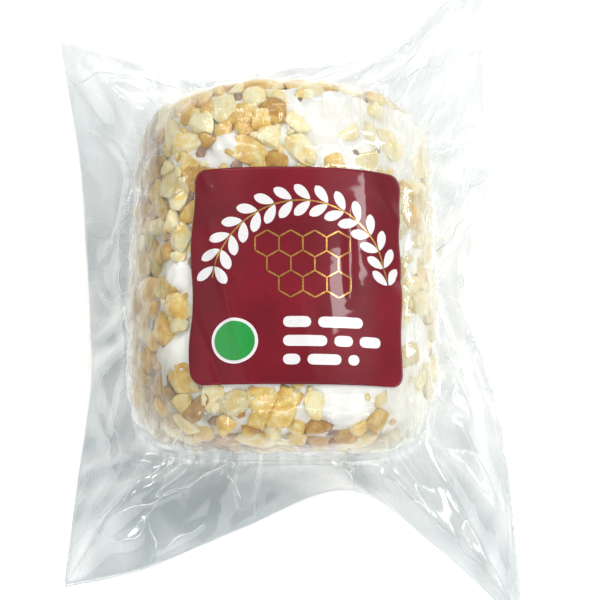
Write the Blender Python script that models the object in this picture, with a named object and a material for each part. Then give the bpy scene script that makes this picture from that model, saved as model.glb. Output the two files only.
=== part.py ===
"""A vacuum packed goat cheese log, in metres, +Z up, lying on its back.

A short thick roll of fresh cheese is coated with chopped nuts and sealed in a clear bag.
The film is drawn tight over the roll, so the nuts stand out as low bumps, and the two
films meet in a thin wavy flange all round. A printed label wraps over the top.
The origin is on the table, under the middle of the bag.
"""

import bisect
import math
import random

import bmesh
import bpy
from mathutils import Vector

MM = 0.001

# The roll of cheese
ROLL_WIDTH = 61 * MM
ROLL_LENGTH = 72 * MM
ROLL_HEIGHT = 55 * MM
ROLL_SUNK = 1 * MM  # the underside is pressed flat by this much
CROSS_POWER = 2.3  # 2 is an ellipse, more is squarer
END_POWER = 6.0
TAPER = 0.02  # the near end is this much wider than the middle

# The bag's outline, from corner to corner on each side
TOP_SIDE = ((-52, 58.4), (-32, 51.4), (-18.5, 47.4), (0, 49.2), (20.7, 53), (34, 63.5), (45.5, 73.5))
RIGHT_SIDE = ((45.5, 73.5), (45.2, 48.8), (45.8, 23), (41, 5), (44.8, -14.7), (48.9, -38), (52, -73.5))
BOTTOM_SIDE = ((52, -73.5), (33.8, -56.6), (14, -44), (-9.9, -52.5), (-30, -60.8), (-48.2, -64.9))
LEFT_SIDE = ((-48.2, -64.9), (-45.7, -42.5), (-42.7, -21), (-43.3, -8), (-44.3, 10), (-46.5, 30), (-52, 58.4))
SIDES = (TOP_SIDE, RIGHT_SIDE, BOTTOM_SIDE, LEFT_SIDE)
CORNER_HEIGHTS = (12 * MM, 16 * MM, 5 * MM, 3.5 * MM)  # where each side starts
SIDE_SPOKES = (26, 38, 26, 34)  # how many columns of faces each side has

# The flange of two films pressed together
FLANGE_THICKNESS = 0.8 * MM
FLANGE_GAP = 3 * MM  # from the roll's side to where the films meet
ROOT_HEIGHT = 19 * MM
EDGE_RISE = 2.5 * MM  # the middle of each side is this much above a line between its corners
WAVE_HEIGHT = 1.1 * MM
EDGE_WAVES = 2.5  # on each side
RIPPLES = 9  # round the whole flange
RIPPLE_TWIST = 2.5
PLEAT_HEIGHT = 4.5 * MM  # the folds that run from the roll to the bag's corners
PLEAT_SPOKES = 2.2  # half the width of a fold, in columns of faces
EDGE_THINNING = 0.4  # how much of its thickness the flange loses at the edge
UPPER_PULL = 0.6  # how the film hangs between the roll and the flange
ROOT_PULL = 0.8
UNDER_PULL = 0.4

# Rows of faces, from the middle of the top round to the middle of the underside
LABEL_ROWS = 6
SHOULDER_ROWS = 15
BRIDGE_ROWS = 4
FLANGE_ROWS = 6
UNDER_BRIDGE_ROWS = 3
UNDER_ROWS = 8
LABEL_ANGLE = math.radians(36)
LEAVE_ANGLE = math.radians(84)  # the film leaves the roll here, from straight up
REJOIN_ANGLE = math.radians(112)
WIDEST_ANGLE = math.radians(95)
NORMAL_STEP = 0.01
LEAST_LEAN = 0.02

# The chopped nuts under the film
NUT_COUNT = 300
NUT_TRIES = 18000
LOWEST_NUT = -0.25  # the cosine of its angle from straight up
NUT_SPACING = 4.3 * MM
NUT_RADIUS = (2.2 * MM, 3.6 * MM)
NUT_HEIGHT = (0.8 * MM, 1.7 * MM)
NUT_STRETCH = 1.5
NUT_SEED = 11

# The label, measured along the film
LABEL_MIDDLE = (3.5 * MM, -5 * MM)
LABEL_WIDTH = 42 * MM
LABEL_LENGTH = 42.5 * MM
LABEL_CORNER = 2.6 * MM
LABEL_THICKNESS = 0.4 * MM
LABEL_GAP = 0.3 * MM
LABEL_CELLS = 20
ARC_STEPS = 24
WRAP_STEPS = 400
WRAP_REACH = 0.99  # the share of the roll's half width that the wrapping covers
CLEAR_START = 0.8 * MM  # the film stays smooth this far beside the label
CLEAR_BAND = 3 * MM  # the nuts fade in over this band


def clear_scene():
    for thing in list(bpy.data.objects):
        bpy.data.objects.remove(thing, do_unlink=True)


def make_material(name, colour, roughness):
    material = bpy.data.materials.new(name)
    material.use_nodes = True
    shader = material.node_tree.nodes["Principled BSDF"]
    shader.inputs["Base Color"].default_value = (*colour, 1)
    shader.inputs["Roughness"].default_value = roughness
    shader.inputs["Metallic"].default_value = 0
    material.diffuse_color = (*colour, 1)
    return material


def smoothstep(low, high, value):
    share = min(1.0, max(0.0, (value - low) / (high - low)))
    return share * share * (3 - 2 * share)


def mix(start, end, share):
    return start + (end - start) * share


def roll_point(direction):
    """Where a ray from the middle of the roll leaves it."""
    half_width = ROLL_WIDTH / 2
    half_length = ROLL_LENGTH / 2
    half_height = ROLL_HEIGHT / 2
    cross = abs(direction.x / half_width) ** CROSS_POWER + abs(direction.z / half_height) ** CROSS_POWER
    ends = abs(direction.y / half_length) ** END_POWER
    reach = (cross ** (END_POWER / CROSS_POWER) + ends) ** (-1 / END_POWER)
    point = direction * reach
    point.x *= 1 - TAPER * point.y / half_length
    point.z += half_height - ROLL_SUNK
    return point


def roll_direction(turn, lean):
    """Turn is the angle in plan, and lean the angle from straight up."""
    return Vector((math.sin(lean) * math.cos(turn), math.sin(lean) * math.sin(turn), math.cos(lean)))


def roll_normal(turn, lean):
    lean = max(lean, LEAST_LEAN)
    here = roll_point(roll_direction(turn, lean))
    along = roll_point(roll_direction(turn + NORMAL_STEP, lean)) - here
    down = roll_point(roll_direction(turn, lean + NORMAL_STEP)) - here
    return down.cross(along).normalized()


def side_point(side, share):
    """A point on one side of the outline, on a smooth curve through the side's points."""
    place = share * (len(side) - 1)
    index = min(int(place), len(side) - 2)
    local = place - index
    before, start, end, after = (
        Vector(side[min(max(index + step, 0), len(side) - 1)]) for step in (-1, 0, 1, 2)
    )
    point = start * 2 + (end - before) * local
    point += (before * 2 - start * 5 + end * 4 - after) * local**2
    point += (start * 3 - before - end * 3 + after) * local**3
    return point * (MM / 2)


def make_spokes():
    """For each column: its angle on the roll, its edge point and height, and its share of a fold."""
    spokes = []
    for number, side in enumerate(SIDES):
        start = math.atan2(side[0][1], side[0][0])
        end = math.atan2(side[-1][1], side[-1][0])
        if end > start:
            end -= math.tau
        low = CORNER_HEIGHTS[number]
        high = CORNER_HEIGHTS[(number + 1) % len(SIDES)]
        count = SIDE_SPOKES[number]
        for step in range(count):
            share = step / count
            bow = math.sin(math.pi * share)
            height = mix(low, high, share) + EDGE_RISE * bow
            height += WAVE_HEIGHT * bow * math.sin(math.tau * EDGE_WAVES * share + number)
            corner = math.exp(-((min(share, 1 - share) * count / PLEAT_SPOKES) ** 2))
            spokes.append((mix(start, end, share), side_point(side, share), height, corner))
    return spokes


def make_nuts():
    """Middles, long axes, radii and heights of the nuts that show through the film."""
    draw = random.Random(NUT_SEED)
    nuts = []
    for _ in range(NUT_TRIES):
        if len(nuts) == NUT_COUNT:
            break
        turn = draw.uniform(-math.pi, math.pi)
        lean = math.acos(draw.uniform(LOWEST_NUT, 1))
        middle = roll_point(roll_direction(turn, lean))
        radius = draw.uniform(*NUT_RADIUS)
        height = draw.uniform(*NUT_HEIGHT)
        heading = draw.uniform(0, math.pi)
        if any((middle - other[0]).length < NUT_SPACING for other in nuts):
            continue
        normal = roll_normal(turn, lean)
        across = normal.orthogonal().normalized()
        long_axis = across * math.cos(heading) + normal.cross(across) * math.sin(heading)
        nuts.append((middle, long_axis, radius, height))
    return nuts


def crest_height(x):
    """The roll's height above its middle, at its middle section."""
    return ROLL_HEIGHT / 2 * (1 - abs(x / ROLL_WIDTH * 2) ** CROSS_POWER) ** (1 / CROSS_POWER)


def arc_share(point):
    """How far a point of the roll's top lies from its crest, measured along the film."""
    total = 0.0
    half_width = ROLL_WIDTH / 2
    reach = min(abs(point.x), half_width * WRAP_REACH)
    last = (0.0, crest_height(0))
    for step in range(1, ARC_STEPS + 1):
        x = reach * step / ARC_STEPS
        z = crest_height(x)
        total += math.hypot(x - last[0], z - last[1])
        last = (x, z)
    return math.copysign(total, point.x)


def nut_cover(point):
    """0 under the label, rising to 1 clear of it."""
    beside_x = abs(arc_share(point) - LABEL_MIDDLE[0]) - LABEL_WIDTH / 2
    beside_y = abs(point.y - LABEL_MIDDLE[1]) - LABEL_LENGTH / 2
    return smoothstep(CLEAR_START, CLEAR_START + CLEAR_BAND, max(beside_x, beside_y))


def nut_relief(point, nuts):
    """How far the nuts lift the film here."""
    lift = 0.0
    for middle, long_axis, radius, height in nuts:
        away = point - middle
        if away.length > radius * NUT_STRETCH:
            continue
        along = away.dot(long_axis) / NUT_STRETCH
        spread = (away.length_squared - away.dot(long_axis) ** 2 + along**2) / radius**2
        if spread < 1:
            lift = max(lift, height * math.sqrt(1 - spread))
    return lift


def bezier(points, share):
    rest = 1 - share
    weights = (rest**3, 3 * rest**2 * share, 3 * rest * share**2, share**3)
    return sum((point * weight for point, weight in zip(points, weights)), Vector((0, 0, 0)))


def outward_from(turn):
    return Vector((math.cos(turn), math.sin(turn), 0))


def flange_root(turn):
    """Where the two films meet beside the roll."""
    widest = roll_point(roll_direction(turn, WIDEST_ANGLE))
    return Vector((widest.x, widest.y, ROOT_HEIGHT)) + outward_from(turn) * FLANGE_GAP


def flange_point(spoke, share, half_thickness):
    """A point on the flange, from the roll's side at 0 to the bag's edge at 1."""
    turn, edge, height, corner = spoke
    point = flange_root(turn).lerp(Vector((edge.x, edge.y, height)), share)
    bow = math.sin(math.pi * share)
    point.z += PLEAT_HEIGHT * corner * bow * (1 - share / 2)
    point.z += WAVE_HEIGHT * math.sin(RIPPLES * turn + RIPPLE_TWIST * share) * bow
    point.z += half_thickness * (1 - share * EDGE_THINNING)
    return point


def upper_film(spoke, row, nuts):
    """The top film's point on one spoke, counted in rows from the middle of the top."""
    turn = spoke[0]
    if row <= LABEL_ROWS + SHOULDER_ROWS:
        if row <= LABEL_ROWS:
            lean = LABEL_ANGLE * row / LABEL_ROWS
        else:
            lean = mix(LABEL_ANGLE, LEAVE_ANGLE, (row - LABEL_ROWS) / SHOULDER_ROWS)
        point = roll_point(roll_direction(turn, lean))
        lift = nut_relief(point, nuts) * nut_cover(point)
        return point + roll_normal(turn, lean) * lift
    row -= LABEL_ROWS + SHOULDER_ROWS
    half = FLANGE_THICKNESS / 2
    if row > BRIDGE_ROWS:
        return flange_point(spoke, (row - BRIDGE_ROWS) / FLANGE_ROWS, half)
    start = roll_point(roll_direction(turn, LEAVE_ANGLE))
    normal = roll_normal(turn, LEAVE_ANGLE)
    start += normal * nut_relief(start, nuts)
    root = flange_point(spoke, 0, half)
    down = Vector((0, 0, start.z - root.z))
    inward = outward_from(turn) * FLANGE_GAP * ROOT_PULL
    return bezier((start, start - down * UPPER_PULL, root - inward, root), row / BRIDGE_ROWS)


def lower_film(spoke, row):
    """The under film's point on one spoke, counted in rows from the bag's edge."""
    turn = spoke[0]
    half = FLANGE_THICKNESS / 2
    if row < FLANGE_ROWS:
        return flange_point(spoke, 1 - row / FLANGE_ROWS, -half)
    row -= FLANGE_ROWS
    end = roll_point(roll_direction(turn, REJOIN_ANGLE))
    if row < UNDER_BRIDGE_ROWS:
        root = flange_point(spoke, 0, -half)
        up = Vector((0, 0, root.z - end.z))
        inward = outward_from(turn) * FLANGE_GAP * ROOT_PULL
        return bezier((root, root - inward, end + up * UNDER_PULL, end), row / UNDER_BRIDGE_ROWS)
    row -= UNDER_BRIDGE_ROWS
    point = roll_point(roll_direction(turn, mix(REJOIN_ANGLE, math.pi, row / UNDER_ROWS)))
    point.z = max(0.0, point.z)
    return point


def make_bag(nuts):
    """A ball whose columns and rows are pulled to the bag's shape."""
    spokes = make_spokes()
    upper_rows = LABEL_ROWS + SHOULDER_ROWS + BRIDGE_ROWS + FLANGE_ROWS
    rows = upper_rows + FLANGE_ROWS + UNDER_BRIDGE_ROWS + UNDER_ROWS
    mesh = bmesh.new()
    bmesh.ops.create_uvsphere(mesh, u_segments=len(spokes), v_segments=rows, radius=1)
    for vertex in mesh.verts:
        row = round(math.acos(max(-1.0, min(1.0, vertex.co.z))) / math.pi * rows)
        column = round(-math.atan2(vertex.co.y, vertex.co.x) / math.tau * len(spokes)) % len(spokes)
        if row <= upper_rows:
            vertex.co = upper_film(spokes[column], row, nuts)
        else:
            vertex.co = lower_film(spokes[column], row - upper_rows)
    material = make_material("nut coated cheese in film", (0.86, 0.82, 0.7), 0.35)
    return finish_object("vacuum_bag", mesh, material)


def finish_object(name, mesh, material):
    data = bpy.data.meshes.new(name)
    mesh.to_mesh(data)
    mesh.free()
    data.materials.append(material)
    data.shade_smooth()
    thing = bpy.data.objects.new(name, data)
    bpy.context.scene.collection.objects.link(thing)
    return thing


def wrap_table():
    """Points across the roll's crest, with their distance along the film."""
    table = []
    for step in range(WRAP_STEPS):
        x = ROLL_WIDTH / 2 * WRAP_REACH * (2 * step / (WRAP_STEPS - 1) - 1)
        table.append((arc_share(Vector((x, 0, 0))), x))
    return table


def label_outline(across, along):
    """A square cell's place, from -1 to 1, moved inside the rounded rectangle."""
    half_width = LABEL_WIDTH / 2
    half_length = LABEL_LENGTH / 2
    size = max(abs(across), abs(along))
    if size < 1e-9:
        return 0.0, 0.0
    x = across / size * half_width
    y = along / size * half_length
    over_x = abs(x) - (half_width - LABEL_CORNER)
    over_y = abs(y) - (half_length - LABEL_CORNER)
    if over_x > 0 and over_y > 0:
        pull = LABEL_CORNER / math.hypot(over_x, over_y)
        x = math.copysign(half_width - LABEL_CORNER + over_x * pull, x)
        y = math.copysign(half_length - LABEL_CORNER + over_y * pull, y)
    return x * size, y * size


def make_label():
    """A thin printed sheet laid over the crest of the roll."""
    table = wrap_table()
    lengths = [row[0] for row in table]
    mesh = bmesh.new()
    bmesh.ops.create_grid(mesh, x_segments=LABEL_CELLS, y_segments=LABEL_CELLS, size=1)
    for vertex in mesh.verts:
        across, along = label_outline(vertex.co.x, vertex.co.y)
        crest_x = table[bisect.bisect_left(lengths, across + LABEL_MIDDLE[0])][1]
        direction = Vector((crest_x, along + LABEL_MIDDLE[1], crest_height(crest_x))).normalized()
        normal = roll_normal(math.atan2(direction.y, direction.x), math.acos(direction.z))
        vertex.co = roll_point(direction) + normal * LABEL_GAP
    label = finish_object("label", mesh, make_material("dark red printed paper", (0.24, 0.012, 0.024), 0.3))
    thickness = label.modifiers.new("thickness", "SOLIDIFY")
    thickness.thickness = LABEL_THICKNESS
    thickness.offset = 1
    return label


def main():
    clear_scene()
    make_bag(make_nuts())
    make_label()


main()
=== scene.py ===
"""The looks of a vacuum packed goat cheese log.

White fresh cheese, chopped nuts, clear film drawn tight over them with a folded flange
round the log, and a printed label over the top. Metres, +Z up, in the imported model's frame.
"""

import functools
import math
import random

import bmesh
import bpy
import numpy as np
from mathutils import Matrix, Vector, kdtree, noise


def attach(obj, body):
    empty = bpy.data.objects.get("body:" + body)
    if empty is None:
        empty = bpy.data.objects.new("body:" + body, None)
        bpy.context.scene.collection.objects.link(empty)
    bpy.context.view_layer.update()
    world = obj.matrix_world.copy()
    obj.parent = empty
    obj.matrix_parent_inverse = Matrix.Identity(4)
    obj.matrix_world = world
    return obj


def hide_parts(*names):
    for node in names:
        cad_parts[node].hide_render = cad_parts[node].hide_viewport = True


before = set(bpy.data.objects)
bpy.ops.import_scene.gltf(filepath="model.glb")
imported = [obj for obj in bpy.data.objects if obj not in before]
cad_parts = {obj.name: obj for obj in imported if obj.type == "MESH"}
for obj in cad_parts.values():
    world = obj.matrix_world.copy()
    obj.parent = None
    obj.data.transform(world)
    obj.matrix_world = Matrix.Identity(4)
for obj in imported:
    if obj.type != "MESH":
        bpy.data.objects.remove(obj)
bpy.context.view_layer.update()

bl_info = {
    "name": "Packed Cheese Log",
    "version": (1, 0, 0),
    "blender": (4, 5, 0),
    "location": "View3D > Sidebar > Cheese Log",
    "description": "Builds a nut coated cheese log in a clear vacuum bag",
    "category": "Object",
}

MM = 0.001
BODY = "root"
BAG_NODE = "vacuum_bag"
LABEL_NODE = "label"

# The bag's outline in millimetres, from corner to corner on each side
TOP_SIDE = ((-52, 58.4), (-32, 51.4), (-18.5, 47.4), (0, 49.2), (20.7, 53), (34, 63.5), (45.5, 73.5))
RIGHT_SIDE = ((45.5, 73.5), (45.2, 48.8), (45.8, 23), (41, 5), (44.8, -14.7), (48.9, -38), (52, -73.5))
BOTTOM_SIDE = ((52, -73.5), (33.8, -56.6), (14, -44), (-9.9, -52.5), (-30, -60.8), (-48.2, -64.9))
LEFT_SIDE = ((-48.2, -64.9), (-45.7, -42.5), (-42.7, -21), (-43.3, -8), (-44.3, 10), (-46.5, 30), (-52, 58.4))
SIDES = (TOP_SIDE, RIGHT_SIDE, BOTTOM_SIDE, LEFT_SIDE)
CORNER_HEIGHTS = (12 * MM, 16 * MM, 5 * MM, 3.5 * MM)
SIDE_SPOKES = (26, 38, 26, 34)
COLUMNS_PER_SPOKE = 3

# The flange, as in the solid
FLANGE_GAP = 3 * MM
ROOT_HEIGHT = 19 * MM
EDGE_RISE = 2.5 * MM
WAVE_HEIGHT = 1.1 * MM
EDGE_WAVES = 2.5
RIPPLES = 9
RIPPLE_TWIST = 2.5
PLEAT_HEIGHT = 4.5 * MM
PLEAT_SPOKES = 2.2
FILM_GAP = 0.25 * MM  # half the gap between the two films of the flange

# How strongly the film swings from the roll into the flange
UPPER_PULL = 0.6
ROOT_PULL = 0.8
UNDER_PULL = 0.4

# Rows of film faces, from the middle of the top to the middle of the underside
LABEL_ROWS = 12
SHOULDER_ROWS = 54
BRIDGE_ROWS = 14
FLANGE_ROWS = 34
UNDER_BRIDGE_ROWS = 8
UNDER_ROWS = 16
LABEL_ANGLE = math.radians(36)
PLEAT_ANGLE = math.radians(52)
LEAVE_ANGLE = math.radians(84)
REJOIN_ANGLE = math.radians(112)
WIDEST_ANGLE = math.radians(95)
NORMAL_STEP = 0.01
LEAST_LEAN = 0.02

# Folds of the flange, in millimetres: from, to, bow, height, half width, and the crest's whiteness, which is
# folded film's own white in part and a painted highlight in part
FOLDS = (
    (-51, 46, -21, 43, 3, 1.0, 2.2, 0.7),
    (-45, 36, -34, 26, 2, 1.6, 2.6, 0.6),
    (-34, 22, -35, -6, -1, 2.0, 2.4, 0.8),
    (-33, 22, -43, 3, 2, 0.8, 1.8, 0.8),
    (-35, -6, -43, 2, 0, 0.6, 1.6, 0.8),
    (-36, -3, -33, -17, 0, 1.6, 2.2, 0),
    (-33, -18, -37, -33, 0, 1.5, 2.4, 0.6),
    (-41, -17, -35, -34, 0, 0.6, 1.8, 0.5),
    (-42, -27, -37, -39, 1, 1.0, 2.0, 0.7),
    (-43, -40, -26, -38, 0, 1.8, 2.6, 0),
    (-26, -37, -47, -63, 0, 2.6, 3.2, 0),
    (-22, -39, -40, -52, 0, 2.0, 2.8, 0),
    (-18, -33, -39, -52, -1, 0.8, 1.6, 0.7),
    (-11, -38, -38, -50, 1, 1.2, 2.2, 0.9),
    (-11, -38, 10, -35, 1, 0.6, 1.6, 0.9),
    (-40, -52, -29, -50, -4, 1.3, 2.4, 0.9),
    (-29, -50, -29, -60, 1, 1.3, 2.4, 0.9),
    (-27, -57, -17, -51, 0, 0.6, 1.6, 0.8),
    (-11, -40, -15, -53, 0, 1.8, 2.4, 0),
    (-12, -41, -9, -46, 0, 0.6, 1.4, 0.8),
    (-1, -39, 4, -48, 0, 1.3, 2.0, 0),
    (0, -34, 8, -38, -1, 0.6, 1.4, 0.6),
    (10, -36, 17, -46, 0, 1.4, 2.2, 0.8),
    (21, -38, 36, -57, 0, 1.7, 2.4, 0),
    (20, -40, 46, -65, 1, 0.8, 1.8, 0.8),
    (30, -35, 50, -70, 0, 2.6, 3.4, 0),
    (32, -36, 45, -42, 3, 0.6, 1.6, 0.5),
    (38, -30, 48, -50, 0, 1.5, 2.8, 0),
    (45, -43, 47, -61, -8, 0.8, 1.8, 0.9),
    (37, -2, 48, -62, 5, 0.6, 1.6, 0.4),
    (32, -9, 41, -29, 0, 1.8, 2.6, 0),
    (33, -26, 43, -9, 0, 1.4, 2.2, 0),
    (32, -6, 35, -17, 2, 0.6, 1.6, 0.6),
    (32, -22, 34, -26, 0, 0.4, 1.2, 0.9),
    (38, -3, 40, 4, 0, 0.4, 1.2, 0.5),
    (31, 2, 37, 12, 0, 2.0, 2.4, 0),
    (29, 4, 41, 26, -4, 1.2, 2.0, 0.9),
    (29, 5, 30, 20, 0, 0.5, 1.4, 0.7),
    (37, 12, 43, 25, 0, 1.7, 2.6, 0),
    (19, 38, 45, 36, -8, 0.8, 2.0, 0.8),
    (31, 32, 40, 43, 1, 2.2, 2.8, 0.6),
    (26, 42, 45, 71, 0, 2.8, 3.4, 0),
    (25, 44, 37, 64, 1, 0.8, 1.6, 0.6),
    (26, 45, 44, 54, 0, 0.8, 1.8, 0.5),
    (4, 43, 26, 52, 0, 1.6, 2.4, 0),
    (12, 45, 25, 46, 0, 0.6, 1.4, 0.4),
    (-14, 41, -20, 46, 0, 1.0, 2.0, 0),
)
FOLD_SHARPNESS = 1.6
CREST_STEP = 0.9 * MM
CREST_SIDES = 8
CREST_WIDTH = 0.5 * MM
CREST_HEIGHT = 0.2 * MM
CREST_WAVER = 0.5 * MM
CREST_WAVE = 9  # millimetres
CREASE_HEIGHT = 0.45 * MM
CREASE_REACH = 20 * MM
# For each set of creases: how many round the bag, slant, share of the relief, and stronger patches
CREASES = ((17, 0.5, 1.0, 4), (27, -0.7, 0.5, 5), (11, 1.3, 0.7, 3), (41, 0.35, 0.15, 7))
PULL_LENGTH = 0.5  # how much the film's fine wrinkles are drawn out towards the edge
SIDE_PLEATS = 23
SIDE_PLEAT_HEIGHT = 0.2 * MM
PAINTED_SHADOW_END = (-8 * MM, -43 * MM)  # where the roll's shadow is painted darkest on the flange, at the near end of the log

# The label's folds, in millimetres on the roll: from, to, bow, height and half width
LABEL_FOLDS = (
    (-13.6, 5, -6.2, -25.7, 0, 0.55, 2.2),
    (12.6, 9, 13, -9.5, 0, 0.4, 1.8),
    (-16.8, -12, -10.3, -27.7, 0, -0.4, 2.0),
    (3, -8, 6, -25.5, 0, 0.22, 3.0),
    (-15, 15, -13.2, 11, 0, 0.3, 1.6),
    (17.5, -1, 25, -6.5, 0, -0.6, 3.2),
    (19, 12, 25, 3, 0, 0.35, 2.4),
)

# Rules for drawing the pieces of the coating. Rise is the height for each metre of radius.
COATED = (-0.25, 1)  # from the lowest to the highest piece, as the cosine of the lean
LARGE_NUTS = {
    "seed": 11, "count": 300, "tries": 18000, "spacing": 4.3 * MM, "radius": (2.2 * MM, 3.6 * MM),
    "height": (0.8 * MM, 1.7 * MM), "reach": COATED,
}
SMALL_NUTS = {
    "seed": 29, "count": 250, "tries": 4000, "spacing": 3.1 * MM, "radius": (1.6 * MM, 2.5 * MM),
    "rise": 0.62, "reach": COATED,
}
CRUMBS = {
    "seed": 31, "count": 380, "tries": 6000, "spacing": 2.5 * MM, "radius": (0.5 * MM, 1.2 * MM),
    "rise": 0.6, "reach": COATED,
}
UNDER_NUTS = {
    "seed": 37, "count": 170, "tries": 6000, "spacing": 4.4 * MM, "radius": (2 * MM, 3.4 * MM),
    "rise": 0.3, "reach": (-0.995, -0.25),
}
NUT_STRETCH = 1.5
NUT_DEPTH = 1.9 * MM
NUT_SHRINK = (0.86, 0.96)  # how much of the solid's bump the nut itself takes, along and across
SKIN_SHARE = 0.28  # of the crumbs
ROASTED_SKIN_SHARE = 0.4  # and as much more between the roasted nuts
CHEESE_RISE = -0.45 * MM
BARE_RISE = 2 * MM
LUMP_RISE = 0.8 * MM
UNDER_SINK = 0.5 * MM
CHEESE_GRID = (200, 110)
SMEAR = 0.2  # how far the cheese rises over the nuts in the smeared patches
CUTS = 5  # flat broken faces of each nut
RELAX_STEPS = 14
RELAX_HOLD = 0.985

# Places on the log, in millimetres: middle x, middle y and reach
WHITE_PATCHES = (
    (10, 27, 7), (-11, 21, 3), (12, -28, 6), (-20, -4, 3), (-20, -20, 4), (25, -14, 4),
    (22, 4, 4), (24, 27, 5), (26, -30, 5), (-3, -25, 3), (18, -24, 4),
)
ROASTED_PATCHES = ((9, -34, 5), (-11, -36, 6), (-21, -27, 6), (-27, 26, 4), (-25, 12, 3))
SMEARED_PATCHES = ((18, 24, 13), (29, 4, 10), (29, -20, 9), (5, 31, 6))
GOLDEN_PATCHES = (
    (-13, -28, 6), (-2, -32, 7), (-6, 27, 9), (-19, 22, 6), (-24, -12, 5), (-16, 33, 6), (20, -33, 5),
)

FILM_CLEAR = 0.15 * MM  # between the filling and the film
LABEL_GAP = 0.3 * MM
LABEL_THICKNESS = 0.2 * MM
LABEL_GRID = 96
PRINT_LIFT = 0.05 * MM
PRINT_STEP = 0.6 * MM
WRAP_REACH = 0.99
WRAP_STEPS = 400
CLEAR_START = 0.8 * MM
CLEAR_BAND = 3 * MM

# The milky white of the film against the log, of the flange, and of its folds, whose white is in part a
# painted highlight along the crests
LOG_MILK = (0.84, 0.85, 0.75)
FLANGE_MILK = (0.86, 0.89, 0.88)
FOLD_MILK_AND_HIGHLIGHT = (0.95, 0.96, 0.96)

# The lights, all turned to one point: name, which setting, share of it, place, width and height
LIGHT_TARGET = (0, 0, 0.02)
LIGHTS = (
    ("key", "key", 1, (0.36, 0.12, 0.5), 0.07, 0.3),
    ("back", "back", 1, (0.05, 0.55, 0.35), 0.4, 0.1),
    ("front", "strips", 0.5, (0.07, -0.36, 0.5), 0.24, 0.05),
    ("far", "strips", 0.5, (-0.12, 0.27, 0.56), 0.24, 0.05),
    ("strip_0", "strips", 1, (-0.26, 0.38, 0.45), 0.05, 0.22),
    ("strip_1", "strips", 1, (-0.18, -0.45, 0.38), 0.05, 0.22),
    ("strip_2", "strips", 1, (0.34, -0.3, 0.4), 0.05, 0.22),
)
TABLE_SIZE = 6
TABLE_DROP = 0.1 * MM


def scalar(name, description, default, **limits):
    return bpy.props.FloatProperty(name=name, description=description, default=default, **limits)


def metres(name, description, default, **limits):
    return scalar(name, description, default, subtype="DISTANCE", unit="LENGTH", **limits)


def colour(name, description, *default):
    return bpy.props.FloatVectorProperty(
        name=name, description=description, default=default, size=3, min=0, max=1, subtype="COLOR"
    )


class RollSettings(bpy.types.PropertyGroup):
    width: metres("Width", "Across the log", 0.061, min=0.02)
    length: metres("Length", "Along the log", 0.072, min=0.02)
    height: metres("Height", "Before the underside flattens", 0.055, min=0.02)
    sunk: metres("Flattened", "How much of the underside is pressed flat", 0.001)
    roundness: scalar("Cross power", "2 makes an elliptical section, more a squarer one", 2.3, min=2)
    squareness: scalar("End power", "How square the ends are", 6.0, min=2)
    taper: scalar("Taper", "How much wider the near end is than the middle", 0.02)
    cheese_colour: colour("Cheese", "Colour of the fresh cheese", 0.9, 0.895, 0.85)
    # Stands for the honey and whey stain and also for painted shade on the log's left side.
    whey_and_shade_colour: colour("Whey", "Colour of the honey and whey on the left side", 0.3, 0.28, 0.15)


class NutSettings(bpy.types.PropertyGroup):
    pale_colour: colour("Pale nut", "Colour of the pale nuts", 0.88, 0.81, 0.52)
    golden_colour: colour("Golden nut", "Colour of the golden nuts", 0.83, 0.6, 0.17)
    roasted_colour: colour("Roasted nut", "Colour of the roasted nuts", 0.6, 0.33, 0.07)
    skin_colour: colour("Skin", "Colour of the scraps of nut skin", 0.34, 0.22, 0.16)
    lumpiness: scalar("Lumpiness", "How uneven each nut is", 0.12, min=0, max=0.5)


class FilmSettings(bpy.types.PropertyGroup):
    roughness: scalar("Roughness", "Roughness of the film's gloss", 0.06, min=0, max=1, subtype="FACTOR")
    clear_tint: colour("Tint on the log", "What the film lets through on the log", 0.985, 0.985, 0.98)
    # The flange's tint where its painted shade is full.
    flange_shade_tint: colour("Tint of the flange", "What each film of the flange lets through", 0.7, 0.735, 0.745)
    gloss: scalar("Gloss", "Share of light reflected straight on", 0.06, min=0, max=1, subtype="FACTOR")
    falloff: scalar("Falloff", "How late the gloss grows towards a slant", 4.5, min=1)


class LabelSettings(bpy.types.PropertyGroup):
    middle_x: metres("Middle across", "Label's middle, measured along the film from the crest", 0.0035)
    middle_y: metres("Middle along", "Label's middle along the log", -0.005)
    width: metres("Width", "Across the log, along the film", 0.042)
    length: metres("Length", "Along the log", 0.0425)
    corner: metres("Corner", "Radius of the corners", 0.0026)
    red: colour("Red", "The label's ground colour", 0.19, 0.0065, 0.017)
    gold: colour("Gold", "The gold ink", 0.6, 0.33, 0.07)
    green: colour("Green", "The green badge", 0.0, 0.3, 0.035)
    white: colour("White", "The white ink", 0.82, 0.8, 0.8)


class StageSettings(bpy.types.PropertyGroup):
    lens: scalar("Lens", "Focal length in millimetres", 80, min=10)
    distance: metres("Distance", "From the camera to the log", 0.28)
    elevation: scalar(
        "Elevation", "The camera's angle above the table", math.radians(80), subtype="ANGLE", unit="ROTATION"
    )
    target: bpy.props.FloatVectorProperty(
        name="Target", description="Where the camera looks", default=(0.0035, -0.005, 0.027), size=3,
        subtype="TRANSLATION", unit="LENGTH",
    )
    floor_colour: colour("Floor", "Colour of the table", 0.93, 0.93, 0.93)
    floor_glow: scalar("Floor glow", "How much the table shines by itself", 0.31, min=0)
    key: scalar("Key light", "Power of the strip light, up and to the right", 1.2, min=0, unit="POWER")
    back: scalar("Back light", "Power of the light behind the log", 0.5, min=0, unit="POWER")
    strips: scalar("Strip lights", "Power of each small strip light round the log", 0.4, min=0, unit="POWER")
    sky: scalar("Sky", "Brightness of the ring of sky round the camera", 0.87, min=0)
    zenith: scalar("Overhead", "Brightness of the room behind the camera", 0.2, min=0)
    walls: scalar("Walls", "Brightness of the room at the level of the table", 0.3, min=0)


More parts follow.
